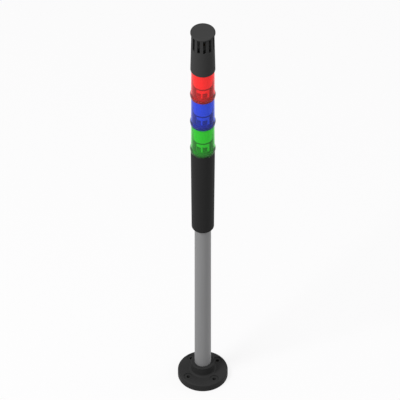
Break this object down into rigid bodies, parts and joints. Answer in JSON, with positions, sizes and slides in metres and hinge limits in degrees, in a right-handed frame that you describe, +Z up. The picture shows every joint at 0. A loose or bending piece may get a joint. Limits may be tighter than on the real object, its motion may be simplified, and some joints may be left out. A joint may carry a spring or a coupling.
{
  "type": "stack light",
  "caption": "Modular stack light on a tube stand: drilled round foot, tube, tapered housing, stacked coloured light modules and a slotted sounder that twist apart.",
  "frame": {"origin": "centre of the foot's underside, on the axis of the stack", "axes": "+Z up along the tube; the front faces -Y; the foot's bolt holes lie on the diagonals between X and Y"},
  "size_m": [0.076, 0.076, 0.73],
  "materials": {
    "black_plastic": "fine-textured moulded black",
    "carrier_plastic": "smooth moulded black",
    "anodised_aluminium": "satin natural anodised",
    "green_lens": "clear tinted polycarbonate",
    "blue_lens": "clear tinted polycarbonate",
    "red_lens": "clear tinted polycarbonate",
    "opal_plastic": "opal white",
    "circuit_board": "white solder mask",
    "led_resin": "cast resin",
    "contact_metal": "gold-plated",
    "disc_brass": "rolled brass",
    "terminal_plastic": "moulded green",
    "screw_steel": "zinc-plated",
    "rubber_seal": "black moulded rubber"
  },
  "bodies": {
    "stand": {"foot": "black_plastic", "foot_gasket": "rubber_seal", "foot_clamp_screw": "screw_steel", "tube": "anodised_aluminium", "lower_housing": "black_plastic", "housing_clamp_screw": "screw_steel", "tube_seal": "rubber_seal", "bayonet_collar": "black_plastic", "collar_contact_disc": "circuit_board", "collar_contact_tracks": "contact_metal", "terminal_board": "circuit_board", "terminal_block": "terminal_plastic", "terminal_screws": "screw_steel"},
    "green_light": {"lens_green": "green_lens", "carrier_green": "carrier_plastic", "contact_pins_green": "contact_metal", "module_seal_green": "rubber_seal", "diffuser_green": "opal_plastic", "led_board_green": "circuit_board", "leds_green": "led_resin", "contact_disc_green": "circuit_board", "contact_tracks_green": "contact_metal"},
    "blue_light": {"lens_blue": "blue_lens", "carrier_blue": "carrier_plastic", "contact_pins_blue": "contact_metal", "module_seal_blue": "rubber_seal", "diffuser_blue": "opal_plastic", "led_board_blue": "circuit_board", "leds_blue": "led_resin", "contact_disc_blue": "circuit_board", "contact_tracks_blue": "contact_metal"},
    "red_light": {"lens_red": "red_lens", "carrier_red": "carrier_plastic", "contact_pins_red": "contact_metal", "module_seal_red": "rubber_seal", "diffuser_red": "opal_plastic", "led_board_red": "circuit_board", "leds_red": "led_resin", "contact_disc_red": "circuit_board", "contact_tracks_red": "contact_metal"},
    "sounder": {"sounder_housing": "black_plastic", "sounder_cap": "black_plastic", "carrier_sounder": "black_plastic", "contact_pins_sounder": "contact_metal", "module_seal_sounder": "rubber_seal", "sounder_board": "circuit_board", "sounder_drum": "black_plastic", "piezo_disc": "disc_brass", "drum_cover": "black_plastic"}
  },
  "joints": [
    {"name": "green_light_twist", "type": "hinge", "parent": "stand", "child": "green_light", "pos_m": [0, 0, 0.481], "axis": [0, 0, 1], "range_deg": [0, 30]},
    {"name": "blue_light_twist", "type": "hinge", "parent": "green_light", "child": "blue_light", "pos_m": [0, 0, 0.538], "axis": [0, 0, 1], "range_deg": [0, 30]},
    {"name": "red_light_twist", "type": "hinge", "parent": "blue_light", "child": "red_light", "pos_m": [0, 0, 0.595], "axis": [0, 0, 1], "range_deg": [0, 30]},
    {"name": "sounder_twist", "type": "hinge", "parent": "red_light", "child": "sounder", "pos_m": [0, 0, 0.652], "axis": [0, 0, 1], "range_deg": [0, 30]}
  ]
}
